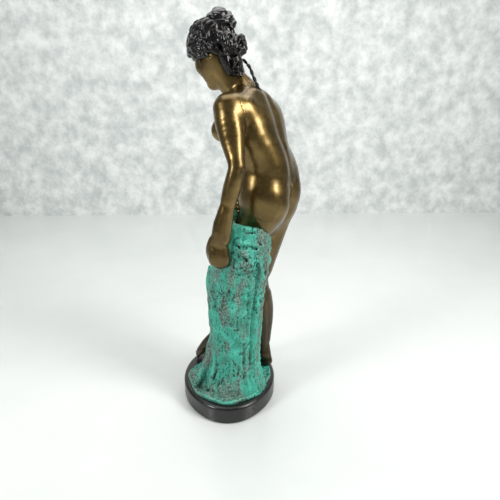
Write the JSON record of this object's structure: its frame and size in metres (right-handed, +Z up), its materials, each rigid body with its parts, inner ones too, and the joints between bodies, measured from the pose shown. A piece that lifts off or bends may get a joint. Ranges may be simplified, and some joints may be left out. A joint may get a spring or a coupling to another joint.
{
  "type": "statuette",
  "caption": "Patinated bronze statuette of a standing bather holding green drapery, on an oval black stone socle",
  "frame": {"origin": "centre of the underside of the felt pad, on the table", "axes": "+Z is up, the figure faces -Y and its left side is +X"},
  "size_m": [0.099, 0.0998, 0.3078],
  "materials": {
    "felt": "matte",
    "black_stone": "polished",
    "verdigris_bronze": "verdigris patina",
    "brown_bronze": "waxed brown patina",
    "dark_bronze": "glossy dark patina",
    "fixing_steel": "plain"
  },
  "bodies": {
    "root": {"felt_pad": "felt", "socle": "black_stone", "ground": "verdigris_bronze", "drapery_fall": "verdigris_bronze", "drapery_swag": "verdigris_bronze", "torso": "brown_bronze", "head": "brown_bronze", "hair": "dark_bronze", "topknot": "dark_bronze", "hair_lock": "dark_bronze", "left_arm": "brown_bronze", "right_arm": "brown_bronze", "left_leg": "brown_bronze", "right_leg": "brown_bronze", "joint_pins": "fixing_steel", "drapery_rod": "fixing_steel", "foot_stud": "fixing_steel", "drapery_pins": "fixing_steel", "washers": "fixing_steel", "hex_nuts": "fixing_steel"}
  },
  "joints": []
}
